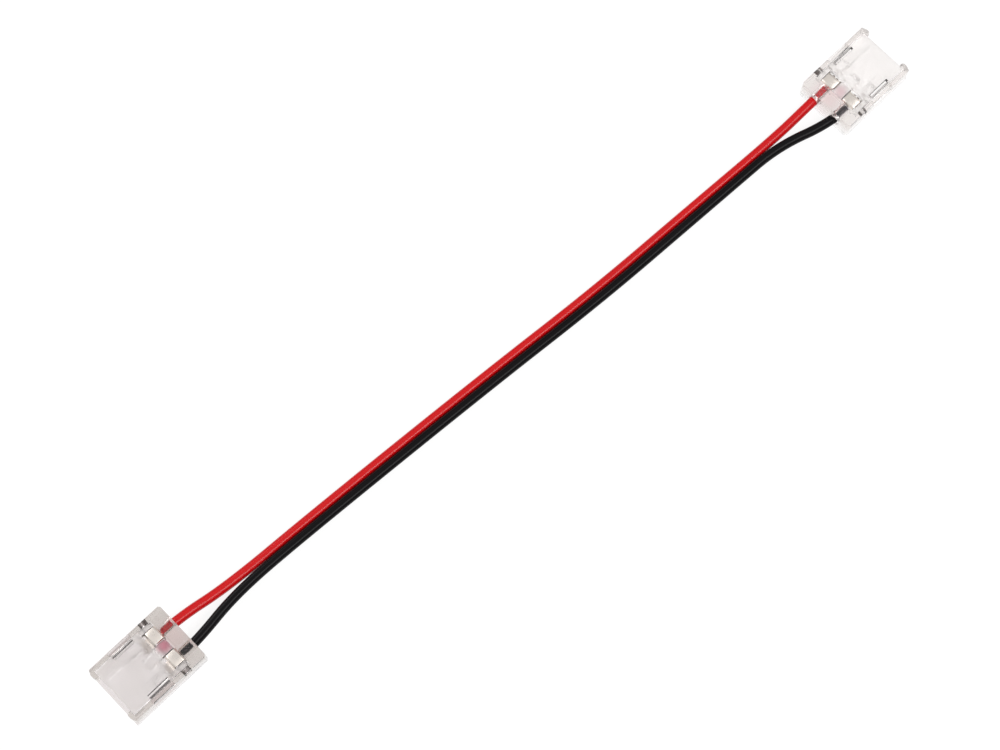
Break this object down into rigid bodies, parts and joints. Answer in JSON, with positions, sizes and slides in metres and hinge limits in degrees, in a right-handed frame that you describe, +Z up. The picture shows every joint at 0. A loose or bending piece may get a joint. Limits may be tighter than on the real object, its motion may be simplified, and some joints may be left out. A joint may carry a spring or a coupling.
{
  "type": "led strip connector",
  "caption": "Lead with clear hinged snap heads that clamp bare ends of narrow flexible light strip and join its pads to a red and black wire pair.",
  "frame": {"origin": "midway between the two heads, on the surface that they lie on", "axes": "+X from head a to head b along the wires, +Y towards the red wire, +Z up out of the lids"},
  "size_m": [0.1836, 0.013, 0.005],
  "materials": {
    "clear_plastic": "clear moulded polycarbonate, polished",
    "tinned_sheet": "tin plated spring bronze sheet, soft shine",
    "red_insulation": "red PVC, soft shine",
    "black_insulation": "black PVC, soft shine",
    "tinned_strands": "tinned copper strands"
  },
  "bodies": {
    "harness": {"base_a": "clear_plastic", "base_b": "clear_plastic", "contact_a_red": "tinned_sheet", "contact_a_black": "tinned_sheet", "contact_b_red": "tinned_sheet", "contact_b_black": "tinned_sheet", "wire_red_insulation": "red_insulation", "wire_red_core": "tinned_strands", "wire_black_insulation": "black_insulation", "wire_black_core": "tinned_strands"},
    "lid_a": {"lid_a": "clear_plastic"},
    "lid_b": {"lid_b": "clear_plastic"}
  },
  "joints": [
    {"name": "lid_a_hinge", "type": "hinge", "parent": "harness", "child": "lid_a", "pos_m": [-0.07916, 0.00025, 0.00375], "axis": [-0.061, 0.9981, 0], "range_deg": [0, 95]},
    {"name": "lid_b_hinge", "type": "hinge", "parent": "harness", "child": "lid_b", "pos_m": [0.07916, -0.00025, 0.00375], "axis": [0.061, -0.9981, 0], "range_deg": [0, 95]}
  ]
}
